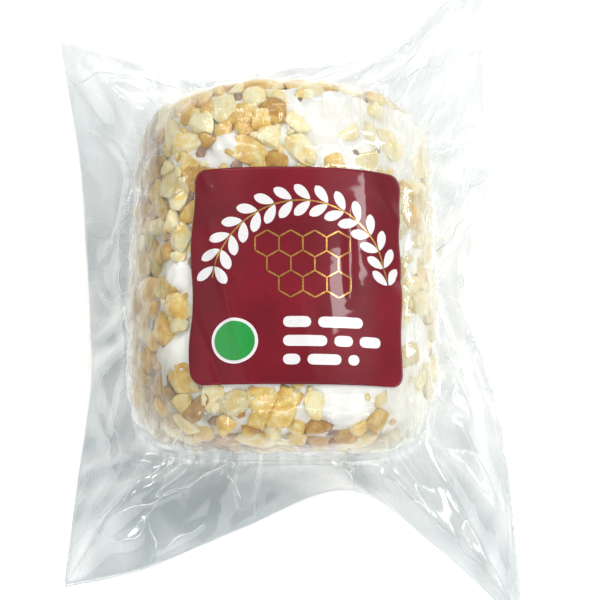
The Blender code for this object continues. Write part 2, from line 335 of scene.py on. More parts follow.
def kept(make):
    """Keeps what a function makes until a size in the settings changes."""
    made = {}

    @functools.wraps(make)
    def give():
        scene = bpy.context.scene
        groups = ((scene.cheese_roll, RollSettings), (scene.cheese_label, LabelSettings))
        values = [getattr(group, key) for group, settings in groups for key in settings.__annotations__]
        sizes = tuple(value for value in values if isinstance(value, float))
        if sizes not in made:
            made.clear()
            made[sizes] = make()
        return made[sizes]

    return give


def smoothstep(low, high, value):
    share = np.clip((value - low) / (high - low), 0, 1)
    return share * share * (3 - 2 * share)


def unit(vectors):
    return vectors / np.maximum(np.linalg.norm(vectors, axis=-1, keepdims=True), 1e-12)


def roll_surface(turn, lean):
    """The roll's surface, by the angle in plan and the angle from straight up."""
    roll = bpy.context.scene.cheese_roll
    turn, lean = np.broadcast_arrays(turn, lean)
    points = np.stack((np.sin(lean) * np.cos(turn), np.sin(lean) * np.sin(turn), np.cos(lean)), axis=-1)
    across = np.abs(points[..., 0] / roll.width * 2) ** roll.roundness
    upward = np.abs(points[..., 2] / roll.height * 2) ** roll.roundness
    along = np.abs(points[..., 1] / roll.length * 2) ** roll.squareness
    reach = ((across + upward) ** (roll.squareness / roll.roundness) + along) ** (-1 / roll.squareness)
    points = points * reach[..., None]
    points[..., 0] *= 1 - roll.taper * points[..., 1] / roll.length * 2
    points[..., 2] += roll.height / 2 - roll.sunk
    return points


def roll_normals(turn, lean):
    lean = np.maximum(lean, LEAST_LEAN)
    here = roll_surface(turn, lean)
    along = roll_surface(np.asarray(turn) + NORMAL_STEP, lean) - here
    down = roll_surface(turn, lean + NORMAL_STEP) - here
    return unit(np.cross(down, along))


def crest_height(x):
    roll = bpy.context.scene.cheese_roll
    rest = np.maximum(1 - np.abs(x / roll.width * 2) ** roll.roundness, 0)
    return roll.height / 2 * rest ** (1 / roll.roundness)


def wrap_table():
    """Places across the roll's crest, and their distances along the film."""
    roll = bpy.context.scene.cheese_roll
    x = np.linspace(-1, 1, WRAP_STEPS + 1) * roll.width / 2 * WRAP_REACH
    steps = np.hypot(np.diff(x), np.diff(crest_height(x)))
    lengths = np.concatenate(((0,), np.cumsum(steps)))
    return x, lengths - np.interp(0, x, lengths)


def fold_axes(fold):
    """A fold's start, its line to the end, and the direction to the left of it, in plan."""
    start = np.array(fold[:2]) * MM
    line = np.array(fold[2:4]) * MM - start
    return start, line, np.array((-line[1], line[0])) / np.linalg.norm(line)


def fold_bow(fold, share):
    """How far the fold bends away from its straight line, to its left."""
    return 4 * share * (1 - share) * fold[4] * MM


def fold_point(fold, share):
    start, line, left = fold_axes(fold)
    return start + share * line + fold_bow(fold, share) * left


def fold_relief(points, folds):
    """The height of sharp ridges laid along bowed lines, which fade out at both ends."""
    relief = np.zeros(points.shape[:-1])
    for fold in folds:
        start, line, left = fold_axes(fold)
        away = points[..., :2] - start
        place = (away @ line) / (line @ line)
        share = np.clip(place, 0, 1)
        distance = np.hypot(away @ left - fold_bow(fold, share), (place - share) * np.linalg.norm(line))
        height, half_width = fold[5:7]
        profile = np.clip(1 - distance / (half_width * MM), 0, 1) ** FOLD_SHARPNESS
        relief += height * MM * profile * (0.45 + 0.55 * np.sin(math.pi * share))
    return relief


def side_points(side, shares):
    """Points on one side of the outline, on a smooth curve through the side's points."""
    side = np.array(side, float) * MM
    padded = np.concatenate((side[:1], side, side[-1:]))
    place = shares * (len(side) - 1)
    index = np.minimum(place.astype(int), len(side) - 2)
    local = (place - index)[:, None]
    before, start, end, after = (padded[index + step] for step in range(4))
    point = start * 2 + (end - before) * local
    point = point + (before * 2 - start * 5 + end * 4 - after) * local**2
    point = point + (start * 3 - before - end * 3 + after) * local**3
    return point / 2


def film_columns():
    """For each column: its angle on the roll, its edge point with height, and its share of a fold."""
    turns, edges, corners = [], [], []
    for number, side in enumerate(SIDES):
        count = SIDE_SPOKES[number] * COLUMNS_PER_SPOKE
        shares = np.arange(count) / count
        start = math.atan2(side[0][1], side[0][0])
        end = math.atan2(side[-1][1], side[-1][0])
        if end > start:
            end -= math.tau
        turns.append(start + (end - start) * shares)
        low, high = CORNER_HEIGHTS[number], CORNER_HEIGHTS[(number + 1) % len(SIDES)]
        bow = np.sin(math.pi * shares)
        height = low + (high - low) * shares + EDGE_RISE * bow
        height += WAVE_HEIGHT * bow * np.sin(math.tau * EDGE_WAVES * shares + number)
        edges.append(np.column_stack((side_points(side, shares), height)))
        spokes = np.minimum(shares, 1 - shares) * SIDE_SPOKES[number]
        corners.append(np.exp(-((spokes / PLEAT_SPOKES) ** 2)))
    return np.concatenate(turns), np.concatenate(edges), np.concatenate(corners)


def outward_from(turns):
    return np.stack((np.cos(turns), np.sin(turns), np.zeros_like(turns)), axis=-1)


def flange_surface(columns, shares):
    """The flange's middle surface, from the roll's side at share 0 to the bag's edge at 1."""
    turns, edges, corners = columns
    root = roll_surface(turns, WIDEST_ANGLE)
    root[:, 2] = ROOT_HEIGHT
    root = root + outward_from(turns) * FLANGE_GAP
    shares = shares[:, None]
    bow = np.sin(math.pi * shares)
    points = root + (edges - root) * shares[..., None]
    points[..., 2] += PLEAT_HEIGHT * corners * bow * (1 - shares / 2)
    points[..., 2] += WAVE_HEIGHT * np.sin(RIPPLES * turns + RIPPLE_TWIST * shares) * bow
    return points


def zigzag(phase):
    """A wave of straight slopes and sharp ridges, from -1 to 1."""
    return 4 * np.abs(phase - np.floor(phase + 0.5)) - 1


def crumple(points, turns):
    """Flat facets between sharp creases, drawn out along the pull from the roll to the edge."""
    reach = np.hypot(points[..., 0], points[..., 1]) / CREASE_REACH
    warp = 0.5 * np.sin(3 * turns + 1) + 0.3 * np.sin(7 * turns + 2 + 3 * reach)
    relief = np.zeros(points.shape[:-1])
    for count, slant, share, patches in CREASES:
        strength = 0.5 + 0.5 * np.sin(patches * turns + count + 1.3 * reach)
        relief += share * strength * zigzag(count * turns / math.tau + slant * reach + warp)
    return relief * CREASE_HEIGHT


def draw_pieces(rule, others=()):
    """Pieces on the log, clear of the others: middle, normal, long axis, radius and height of each."""
    draw = random.Random(rule["seed"])
    middles = np.array([piece[0] for piece in others]).reshape(-1, 3)
    pieces = []
    for _ in range(rule["tries"]):
        if len(pieces) == rule["count"]:
            break
        turn = draw.uniform(-math.pi, math.pi)
        lean = math.acos(draw.uniform(*rule["reach"]))
        middle = roll_surface(turn, lean)
        radius = draw.uniform(*rule["radius"])
        height = draw.uniform(*rule["height"]) if "height" in rule else radius * rule["rise"]
        heading = draw.uniform(0, math.pi)
        if (np.linalg.norm(middles - middle, axis=1) < rule["spacing"]).any():
            continue
        normal = Vector(roll_normals(turn, lean))
        across = normal.orthogonal().normalized()
        long_axis = across * math.cos(heading) + normal.cross(across) * math.sin(heading)
        pieces.append((middle, np.array(normal), np.array(long_axis), radius, height))
        middles = np.vstack((middles, middle))
    return pieces


@kept
def draw_coating():
    """Large nuts, in the places of the solid's, small nuts, crumbs, and the nuts of the underside."""
    large = draw_pieces(LARGE_NUTS)
    small = draw_pieces(SMALL_NUTS, large)
    return large, small, draw_pieces(CRUMBS, large + small), draw_pieces(UNDER_NUTS, large)


def beside_label(points):
    """0 under the label, rising to 1 clear of it."""
    label = bpy.context.scene.cheese_label
    x, lengths = wrap_table()
    beside_x = np.abs(np.interp(points[..., 0], x, lengths) - label.middle_x) - label.width / 2
    beside_y = np.abs(points[..., 1] - label.middle_y) - label.length / 2
    return smoothstep(CLEAR_START, CLEAR_START + CLEAR_BAND, np.maximum(beside_x, beside_y))


def nut_relief(points, nuts):
    """How far the nuts lift the film."""
    lift = np.zeros(points.shape[:-1])
    for middle, _, long_axis, radius, height in nuts:
        radius = radius * NUT_SHRINK[1]
        away = points - middle
        along = away @ long_axis
        spread = ((away * away).sum(-1) - along**2 + (along / NUT_STRETCH) ** 2) / radius**2
        lift = np.maximum(lift, height * np.sqrt(np.clip(1 - spread, 0, 1)))
    return lift


def relax(lift):
    """Draws the film taut between the nuts that it rests on."""
    taut = lift.copy()
    for _ in range(RELAX_STEPS):
        above = np.vstack((taut[:1], taut[:-1]))
        below = np.vstack((taut[1:], taut[-1:]))
        mean = (above + below + np.roll(taut, 1, axis=1) + np.roll(taut, -1, axis=1)) / 4
        taut = np.maximum(lift, mean * RELAX_HOLD)
    return taut


def side_pleats(turns):
    """Uneven upright pleats round the log's side, from -1 to 1."""
    return np.sin(SIDE_PLEATS * turns + 3 * np.sin(3 * turns) + 1.6 * np.sin(8 * turns))


@kept
def tight_film():
    """The film over the log: its columns' and rows' angles, and its height over the cheese."""
    large, small, _, _ = draw_coating()
    turns = film_columns()[0]
    leans = np.concatenate((
        np.linspace(0, LABEL_ANGLE, LABEL_ROWS, endpoint=False),
        np.linspace(LABEL_ANGLE, LEAVE_ANGLE, SHOULDER_ROWS + 1),
    ))[:, None]
    base = roll_surface(turns, leans)
    lift = relax(nut_relief(base, large + small)) * beside_label(base)
    lower_side = smoothstep(PLEAT_ANGLE, LEAVE_ANGLE, leans)
    lift = lift + SIDE_PLEAT_HEIGHT * (side_pleats(turns) + 1) * lower_side
    return turns, leans, lift + fold_relief(base, LABEL_FOLDS) + FILM_CLEAR


def keep_under(points):
    """Pushes points of the filling back under the film."""
    turns, leans, lift = tight_film()
    roll = bpy.context.scene.cheese_roll
    inner = points - (0, 0, roll.height / 2 - roll.sunk)
    inner[:, 0] /= 1 - roll.taper * points[:, 1] / roll.length * 2
    turn = np.arctan2(inner[:, 1], inner[:, 0])
    lean = np.arccos(np.clip(inner[:, 2] / np.linalg.norm(inner, axis=1), -1, 1))
    ring = np.append(turns, turns[0] - math.tau)
    column = np.interp(-np.where(turn > turns[0], turn - math.tau, turn), -ring, np.arange(len(ring)))
    row = np.interp(lean, leans[:, 0], np.arange(len(leans)))
    left, top = np.minimum(column.astype(int), len(turns) - 1), np.minimum(row.astype(int), len(leans) - 2)
    right = (left + 1) % len(turns)
    column, row = column - left, row - top
    over = lift[top, left] * (1 - column) + lift[top, right] * column
    below = lift[top + 1, left] * (1 - column) + lift[top + 1, right] * column
    allowed = (over * (1 - row) + below * row) * (lean < LEAVE_ANGLE) - 1.3 * FILM_CLEAR
    normals = roll_normals(turn, np.minimum(lean, math.pi - 2 * NORMAL_STEP))
    height = ((points - roll_surface(turn, lean)) * normals).sum(-1)
    points = points - normals * np.maximum(height - allowed, 0)[:, None]
    points[:, 2] = np.maximum(points[:, 2], FILM_CLEAR)
    return points


def bezier(points, count):
    """Rows of points on a curve, without its first."""
    shares = np.linspace(0, 1, count + 1)[1:]
    rest = 1 - shares
    weights = (rest**3, 3 * rest**2 * shares, 3 * rest * shares**2, shares**3)
    return sum(weight[:, None, None] * point[None] for weight, point in zip(weights, points))


def level_with(points, others):
    """The upright step from one row of points to the level of another."""
    step = np.zeros_like(points)
    step[:, 2] = others[:, 2] - points[:, 2]
    return step


@kept
def film_rows():
    """All rows of film points, from the middle of the top to the middle of the underside."""
    columns = film_columns()
    turns, leans, lift = tight_film()
    shoulder = roll_surface(turns, leans) + roll_normals(turns, leans) * lift[..., None]

    shares = np.linspace(0, 1, FLANGE_ROWS + 1)
    flange = flange_surface(columns, shares)
    fade = smoothstep(0, 0.12, shares)[:, None]
    inside = smoothstep(1, 0.94, shares)[:, None]
    flange[..., 2] += (fold_relief(flange, FOLDS) + crumple(flange, turns) * inside) * (0.35 + 0.65 * fade)
    flange[..., 2] = np.maximum(flange[..., 2], 2 * FILM_GAP)
    gap = np.array((0, 0, FILM_GAP))
    upper, lower = flange + gap, flange - gap
    upper[-1] = lower[-1] = flange[-1]

    inward = outward_from(turns) * FLANGE_GAP * ROOT_PULL
    start = shoulder[-1]
    fall = level_with(start, upper[0]) * UPPER_PULL
    bridge = bezier((start, start + fall, upper[0] - inward, upper[0]), BRIDGE_ROWS)
    end = roll_surface(turns, REJOIN_ANGLE)
    rise = level_with(end, lower[0]) * UNDER_PULL
    under_bridge = bezier((lower[0], lower[0] - inward, end + rise, end), UNDER_BRIDGE_ROWS)
    under = roll_surface(turns, np.linspace(REJOIN_ANGLE, math.pi, UNDER_ROWS + 1)[1:, None])
    under[..., 2] = np.maximum(under[..., 2], 0.0)
    return np.concatenate((shoulder, bridge, upper[1:], lower[-2::-1], under_bridge, under))


def film_marks(rows, row, column):
    """Where the film is flange, painted grey for shade, veiled and hazy: a value for each of the film's
    points.
    """
    x, y, _ = rows[row, column].T
    turns, leans, _ = tight_film()
    turn = turns[column]
    lean = np.degrees(np.interp(row, np.arange(len(leans)), leans[:, 0]))
    roll_rows = len(leans) - 1
    flange_start = roll_rows + BRIDGE_ROWS
    flange_end = flange_start + 2 * FLANGE_ROWS
    rejoined = flange_end + UNDER_BRIDGE_ROWS
    on_flange = smoothstep(roll_rows, flange_start, row) * smoothstep(rejoined, flange_end, row)

    # Painted shade on the flange: darker down to the left and at the near end of the log, where the roll's
    # shadow falls, and varying over the facets between the creases.
    facets = 0.5 + 0.5 * np.clip(crumple(rows, turns)[row, column] / CREASE_HEIGHT, -1, 1)
    shade_down_left = smoothstep(25 * MM, -35 * MM, x + y)
    shadow_near_end = smoothstep(17 * MM, 4 * MM, np.hypot((x - PAINTED_SHADOW_END[0]) * 0.6, y - PAINTED_SHADOW_END[1]))
    dark = (0.34 + 0.34 * shade_down_left + 0.85 * shadow_near_end) * (0.45 + 1.1 * facets)
    # A painted shadow along the flange's edge at the near end, where it lies close to the table.
    edge = np.abs(row - flange_start - FLANGE_ROWS) < 1.5
    dark = np.maximum(dark, 0.9 * edge * smoothstep(-30 * MM, -42 * MM, y))

    on_log = row <= flange_start
    near_side = smoothstep(-20 * MM, -34 * MM, y)
    leaving = smoothstep(74 - 12 * near_side, 84 - 8 * near_side, lean) * on_log
    near_root = smoothstep(flange_start + 12, flange_start, row) * ~on_log
    fine_pleats = np.sin(53 * turn + 9 * np.sin(7 * turn) + 4 * np.sin(19 * turn))
    pleats = 0.5 + 0.5 * fine_pleats * np.sin(SIDE_PLEATS * turn + 3 * np.sin(3 * turn))
    left = smoothstep(-8 * MM, -26 * MM, x)
    right = smoothstep(14 * MM, 29 * MM, x + 0.4 * np.maximum(y, 0)) * on_log
    side = smoothstep(46, 74, lean) * on_log
    # The flange's facets at the top of the crease pattern get a whiter milkiness, a painted highlight.
    haze_and_highlight = side * (0.08 + 0.46 * left) + 0.38 * right + (0.04 + 0.2 * smoothstep(0.78, 1, facets)) * on_flange
    return {
        "flange": smoothstep(roll_rows - 16, roll_rows + 2, row) * (row <= flange_end),
        "grey": np.clip(on_flange * dark, 0, 1),
        "veil": leaving * (0.2 + 0.42 * near_side) * pleats + near_root * (0.12 + 0.3 * pleats),
        "haze_and_highlight": np.clip(haze_and_highlight, 0.0, 0.95),
    }


def mesh_data(name, mesh):
    data = bpy.data.meshes.new(name)
    mesh.to_mesh(data)
    mesh.free()
    return data


def link_mesh(name, data, material):
    data.materials.append(material)
    data.shade_smooth()
    piece = bpy.data.objects.new(name, data)
    bpy.context.scene.collection.objects.link(piece)
    return piece


def add_piece(name, data, material, node, stands_in=True):
    """Links a mesh as a finished piece of the pack, in the slot of one node."""
    piece = link_mesh(name, data, material)
    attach(piece, BODY)
    if stands_in:
        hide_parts(node)
    return piece


def set_attribute(data, name, values):
    layer = data.attributes.new(name, "FLOAT", "POINT")
    layer.data.foreach_set("value", np.asarray(values, np.float32).ravel())


def vertex_places(mesh):
    return np.array([vertex.co[:] for vertex in mesh.verts])


def move_vertices(vertices, points):
    for vertex, point in zip(vertices, points):
        vertex.co = point


def ball_grid(mesh, columns, rows):
    """Row and column of each vertex of a ball, counted from its top and clockwise in plan."""
    places = vertex_places(mesh)
    row = np.rint(np.arccos(np.clip(places[:, 2], -1, 1)) / math.pi * rows).astype(int)
    column = np.rint(-np.arctan2(places[:, 1], places[:, 0]) / math.tau * columns).astype(int) % columns
    return row, column


def grey(value):
    return (value, value, value)


def scaled(tone, factor):
    return tuple(min(1.0, channel * factor) for channel in tone)


class Looks:
    """A new material, or another thing with nodes, with short ways to add and join them."""

    def __init__(self, name, kind="materials"):
        self.owner = getattr(bpy.data, kind).new(name)
        self.owner.use_nodes = True
        self.tree = self.owner.node_tree

    def fill(self, node, values):
        """Sets a node's inputs, each to a socket, a number or a colour."""
        for key, value in values.items():
            socket = node.inputs[key]
            if isinstance(value, bpy.types.NodeSocket):
                self.tree.links.new(value, socket)
            elif socket.type == "RGBA":
                socket.default_value = (*value, 1)
            else:
                socket.default_value = value

    def add(self, kind, values, **settings):
        node = self.tree.nodes.new(kind)
        for key, value in settings.items():
            setattr(node, key, value)
        self.fill(node, values)
        return node

    def finish(self, values, shader="Principled BSDF"):
        """Fills in the shader that came with the nodes."""
        self.fill(self.tree.nodes[shader], values)
        return self.owner

    def finish_with(self, surface):
        """Puts another surface in place of the material's own shader."""
        self.tree.nodes.remove(self.tree.nodes["Principled BSDF"])
        self.fill(self.tree.nodes["Material Output"], {"Surface": surface})
        return self.owner

    def noise(self, scale, detail, roughness=0.55, distortion=0.0, place=None):
        """Noise in object space, or at a place. The scale is in features for each metre."""
        place = place or self.add("ShaderNodeTexCoord", {}).outputs["Object"]
        values = {"Vector": place, "Scale": scale, "Detail": detail}
        values.update(Roughness=roughness, Distortion=distortion)
        return self.add("ShaderNodeTexNoise", values).outputs["Fac"]

    def ramp(self, source, *stops):
        """A colour ramp through stops of place and colour."""
        node = self.add("ShaderNodeValToRGB", {"Fac": source})
        elements = node.color_ramp.elements
        while len(elements) < len(stops):
            elements.new(0.5)
        for element, (place, tone) in zip(elements, stops):
            element.position = place
            element.color = (*tone, 1)
        return node.outputs["Color"]

    def mix(self, share, first, second, mode="MIX"):
        """Mixes two colours, each a socket or a plain colour."""
        node = self.add("ShaderNodeMix", {}, data_type="RGBA", blend_type=mode)
        self.fill(node, {0: share, 6: first, 7: second})
        return node.outputs[2]

    def bump(self, height, strength, distance):
        values = {"Height": height, "Strength": strength, "Distance": distance}
        return self.add("ShaderNodeBump", values).outputs["Normal"]

    def attribute(self, name, output="Fac"):
        return self.add("ShaderNodeAttribute", {}, attribute_name=name).outputs[output]

    def blend(self, share, first, second):
        """Mixes two surfaces."""
        return self.add("ShaderNodeMixShader", {0: share, 1: first, 2: second}).outputs["Shader"]

    def surface(self, kind, values):
        return self.add(kind, values).outputs["BSDF"]

    def calculate(self, operation, *values):
        return self.add("ShaderNodeMath", dict(enumerate(values)), operation=operation).outputs["Value"]


def cheese_material():
    """Moist white fresh cheese with a fine curd grain, and where the attribute says, a stain of honey and
    whey that also paints the shade of the left side.
    """
    roll = bpy.context.scene.cheese_roll
    looks = Looks("fresh cheese")
    white = tuple(roll.cheese_colour)
    mottled = looks.ramp(looks.noise(210, 4), (0.35, scaled(white, 0.9)), (0.6, white))
    return looks.finish({
        "Base Color": looks.mix(looks.attribute("whey_and_shade"), mottled, tuple(roll.whey_and_shade_colour)),
        "Roughness": 0.42,
        "Subsurface Weight": 0.25,
        "Subsurface Radius": (1.0, 0.85, 0.65),
        "Subsurface Scale": 0.002,
        "Normal": looks.bump(looks.noise(900, 3), 0.35, 0.0004),
    })


def nut_material(name, dark, light, pale, roughness):
    """Nut flesh, mottled between two tones, each nut shifted by its tone attribute, which holds its own tone
    and painted shade by place.
    """
    looks = Looks(name)
    mottled = looks.ramp(looks.noise(330, 4, 0.6, 0.6), (0.32, dark), (0.52, light), (0.7, pale))
    toned = looks.ramp(
        looks.attribute("tone"), (0.0, (0.45, 0.43, 0.3)), (0.5, (0.76, 0.74, 0.67)), (1.0, grey(1.0))
    )
    pits = looks.ramp(looks.noise(1500, 2), (0.3, grey(0.8)), (0.5, grey(1.0)))
    flesh = looks.mix(1.0, mottled, toned, "MULTIPLY")
    return looks.finish({
        "Base Color": looks.mix(0.5, flesh, pits, "MULTIPLY"),
        "Roughness": roughness,
        "Subsurface Weight": 0.18,
        "Subsurface Radius": (1.0, 0.6, 0.3),
        "Subsurface Scale": 0.0012,
        "Normal": looks.bump(looks.noise(1100, 3), 0.4, 0.0004),
    })


def film_material():
    """Clear film: a gloss that grows at a slant, a tint by place that paints shade on the flange, and a milky
    veil by place, which also paints highlights on the flange's facets and fold lines.
    """
    film = bpy.context.scene.cheese_film
    looks = Looks("clear film")
    place = looks.add("ShaderNodeTexCoord", {}).outputs["Object"]
    along = {"Vector": place, "Scale": (1, 0.16, 0.25), "Rotation": (0, 0, math.radians(4))}
    drawn = looks.add("ShaderNodeMapping", along).outputs["Vector"]
    on_flange = looks.attribute("flange")
    streaks = looks.noise(620, 3, 0.6, 0.9, drawn)
    scratches = looks.noise(1900, 2, 0.5, 1.5, drawn)
    folds = looks.noise(3.4, 1, 0.4, 0.8, looks.attribute("pull", "Vector"))
    creases = looks.ramp(folds, (0.38, grey(0)), (0.5, grey(1)), (0.62, grey(0)))
    relief = looks.mix(on_flange, looks.mix(0.15, streaks, scratches), creases)
    strength = looks.ramp(on_flange, (0.0, grey(0.5)), (1.0, grey(0.28)))
    wrinkles = looks.bump(relief, strength, 0.0005)

    # The film's tint darkens towards the flange tint by the painted shade in the grey attribute.
    tint = looks.mix(looks.attribute("grey"), tuple(film.clear_tint), tuple(film.flange_shade_tint))
    clear = looks.surface("ShaderNodeBsdfTransparent", {"Color": tint})
    white = looks.mix(on_flange, LOG_MILK, FLANGE_MILK)
    milk = looks.surface("ShaderNodeBsdfDiffuse", {"Color": white, "Normal": wrinkles})
    patchy = looks.ramp(streaks, (0.35, grey(0.25)), (0.65, grey(1)))
    milky = looks.mix(1.0, looks.attribute("haze_and_highlight"), patchy, "MULTIPLY")
    veiled = looks.mix(1.0, milky, looks.attribute("veil"), "ADD")
    # Thin white lines on the crease pattern of the flange: whitened folded film in part, and painted
    # highlights along the creases in part.
    fold_lines = looks.ramp(folds, (0.488, grey(0)), (0.5, grey(0.22)), (0.512, grey(0)))
    lined = looks.mix(1.0, on_flange, fold_lines, "MULTIPLY")
    hazy = looks.blend(looks.mix(1.0, veiled, lined, "ADD"), clear, milk)

    glossy = {"Color": grey(1), "Roughness": film.roughness, "Normal": wrinkles}
    gloss = looks.surface("ShaderNodeBsdfGlossy", glossy)
    slant = looks.add("ShaderNodeLayerWeight", {"Blend": 0.5, "Normal": wrinkles}).outputs["Facing"]
    steep = looks.calculate("POWER", slant, film.falloff)
    share = looks.calculate("MULTIPLY_ADD", steep, 1 - film.gloss, film.gloss)
    return looks.finish_with(looks.blend(share, hazy, gloss))


def fold_material():
    """Film folded over itself: whiter than single film, by the attribute, which is in part a painted
    highlight along the crest.
    """
    looks = Looks("folded film")
    clear = looks.surface("ShaderNodeBsdfTransparent", {})
    milk = looks.surface("ShaderNodeBsdfDiffuse", {"Color": FOLD_MILK_AND_HIGHLIGHT})
    gloss = looks.surface("ShaderNodeBsdfGlossy", {"Roughness": bpy.context.scene.cheese_film.roughness})
    hazy = looks.blend(looks.attribute("haze_and_highlight"), clear, milk)
    return looks.finish_with(looks.blend(0.12, hazy, gloss))


def label_material():
    """Glossy dark red paper with a fine print grain."""
    looks = Looks("dark red label")
    red = tuple(bpy.context.scene.cheese_label.red)
    cloudy = looks.ramp(looks.noise(90, 3), (0.3, scaled(red, 0.8)), (0.7, scaled(red, 1.25)))
    speckle = looks.ramp(looks.noise(4200, 2), (0.35, grey(0.82)), (0.65, grey(1.0)))
    ripple = looks.bump(looks.noise(160, 2), 0.12, 0.0006)
    return looks.finish({
        "Base Color": looks.mix(1.0, cloudy, speckle, "MULTIPLY"),
        "Roughness": 0.45,
        "Specular IOR Level": 0.15,
        "Coat Weight": 0.35,
        "Coat Roughness": 0.05,
        "Normal": ripple,
        "Coat Normal": ripple,
    })


def ink_material(name, tone, roughness, metallic, worn):
    """Printed ink with slightly uneven cover."""
    looks = Looks(name)
    ripple = looks.bump(looks.noise(160, 2), 0.12, 0.0006)
    return looks.finish({
        "Base Color": looks.ramp(looks.noise(2600, 3), (0.3, scaled(tone, worn)), (0.6, tone)),
        "Roughness": roughness,
        "Metallic": metallic,
        "Coat Weight": 0.8,
        "Coat Roughness": 0.07,
        "Normal": ripple,
        "Coat Normal": ripple,
    })


def table_material():
    stage = bpy.context.scene.cheese_stage
    looks = Looks("pale table")
    floor = tuple(stage.floor_colour)
    return looks.finish({
        "Base Color": looks.ramp(looks.noise(8, 2), (0.3, scaled(floor, 0.99)), (0.7, floor)),
        "Roughness": 0.8,
        "Specular IOR Level": 0.2,
        "Emission Color": grey(1),
        "Emission Strength": stage.floor_glow,
    })


class CHEESE_OT_core(bpy.types.Operator):
    """Make the white cheese under the nuts"""

    bl_idname = "cheese.core"
    bl_label = "Cheese"

    def execute(self, context):
        columns, rows = CHEESE_GRID
        mesh = bmesh.new()
        bmesh.ops.create_uvsphere(mesh, u_segments=columns, v_segments=rows, radius=1)
        row, column = ball_grid(mesh, columns, rows)
        turn = -column / columns * math.tau
        lean = row / rows * math.pi
        points = roll_surface(turn, lean)
        normals = roll_normals(turn, np.minimum(lean, math.pi - 2 * NORMAL_STEP))
        bare = np.zeros(len(points))
        for share, patches in ((1, WHITE_PATCHES), (SMEAR, SMEARED_PATCHES)):
            for x, y, reach in patches:
                away = np.hypot(points[:, 0] - x * MM, points[:, 1] - y * MM)
                bare = np.maximum(bare, share * smoothstep(reach * MM, reach * 0.6 * MM, away))
        lumps = np.array([
            0.6 * noise.noise(Vector(point) / (5 * MM)) + 0.4 * noise.noise(Vector(point) / (2.2 * MM))
            for point in points
        ])
        upper = smoothstep(math.radians(115), math.radians(95), lean)
        rise = (CHEESE_RISE + LUMP_RISE * lumps + BARE_RISE * bare) * upper - UNDER_SINK * (1 - upper)
        points = keep_under(points + normals * rise[:, None])
        points[:, 2] = np.maximum(points[:, 2], 2 * FILM_CLEAR)
        move_vertices(mesh.verts, points)
        bmesh.ops.recalc_face_normals(mesh, faces=mesh.faces)
        data = mesh_data("cheese_core", mesh)
        # Stain of honey and whey, with painted shade: on the left side and towards the lower left corner,
        # away from the light, in streaks.
        corner = smoothstep(-36 * MM, -50 * MM, points[:, 0] + points[:, 1])
        left = np.maximum(smoothstep(-20 * MM, -27 * MM, points[:, 0]), 0.8 * corner)
        drawn_out = points * (1, 0.3, 1) / (2.5 * MM)
        streaks = np.array([0.65 + 0.9 * noise.noise(Vector(place)) for place in drawn_out])
        set_attribute(data, "whey_and_shade", np.clip(left * streaks, 0, 1))
        add_piece("cheese_core", data, cheese_material(), BAG_NODE)
        return {"FINISHED"}


def in_patch(point, patches):
    return any(math.hypot(point[0] / MM - x, point[1] / MM - y) < reach for x, y, reach in patches)


def nut_kind(middle, draw):
    """Which kind of nut lies here, by the patches of the coating and else by chance. None is bare cheese."""
    chance = draw.random()
    if middle[2] > 22 * MM and in_patch(middle, WHITE_PATCHES):
        return None if chance < 0.92 else "pale"
    if in_patch(middle, ROASTED_PATCHES):
        return "roasted" if chance < 0.7 else "golden"
    if in_patch(middle, GOLDEN_PATCHES):
        return "golden" if chance < 0.6 else "pale" if chance < 0.97 else "roasted"
    if middle[0] > 12 * MM:
        return None if chance < 0.14 else "pale" if chance < 0.8 else "golden"
    if middle[0] < -24 * MM:
        return "roasted" if chance < 0.35 else "golden" if chance < 0.75 else "pale"
    return None if chance < 0.03 else "pale" if chance < 0.48 else "golden" if chance < 0.92 else "roasted"


def nut_tone_and_shade(middle, draw):
    """How light a nut is, from 0 to 1: by chance, with painted shade on the left side and at the lower left
    corner, and painted light at the far end.
    """
    chance = draw.random()
    corner = 0.6 * smoothstep(-34 * MM, -46 * MM, middle[0] + middle[1])
    shaded = max(smoothstep(-20 * MM, -26 * MM, middle[0]), corner)
    lowest = 0.45 + 0.3 * smoothstep(12 * MM, 24 * MM, middle[1])
    return (lowest + (1 - lowest) * chance) * (1 - shaded) + 0.55 * chance * shaded


def ball_arrays(subdivisions):
    mesh = bmesh.new()
    bmesh.ops.create_icosphere(mesh, subdivisions=subdivisions, radius=1)
    points = vertex_places(mesh)
    faces = np.array([[vertex.index for vertex in face.verts] for face in mesh.faces])
    mesh.free()
    return points, faces


def chunk_points(ball, nut, draw):
    """A rounded broken piece of nut, sunk in the cheese up to its middle."""
    middle, normal, long_axis, radius, height = nut
    shift = Vector([draw.uniform(-50, 50) for _ in range(3)])
    lumps = np.array([noise.noise(Vector(point) * 1.3 + shift) for point in ball])
    points = ball * (1 + bpy.context.scene.cheese_nuts.lumpiness * lumps * 1.6)[:, None]
    for _ in range(CUTS):
        facing = unit(np.array([draw.gauss(0, 1), draw.gauss(0, 1), draw.gauss(0, 0.5)]))
        over = np.maximum(points @ facing - draw.uniform(0.5, 0.8), 0)
        points = points - over[:, None] * facing * 0.93
    half_thick = (height + min(NUT_DEPTH, radius)) / 2
    return (
        middle
        + normal * (height - half_thick)
        + points[:, :1] * long_axis * radius * NUT_STRETCH * NUT_SHRINK[0]
        + points[:, 1:2] * np.cross(normal, long_axis) * radius * NUT_SHRINK[1]
        + points[:, 2:] * normal * half_thick
    )


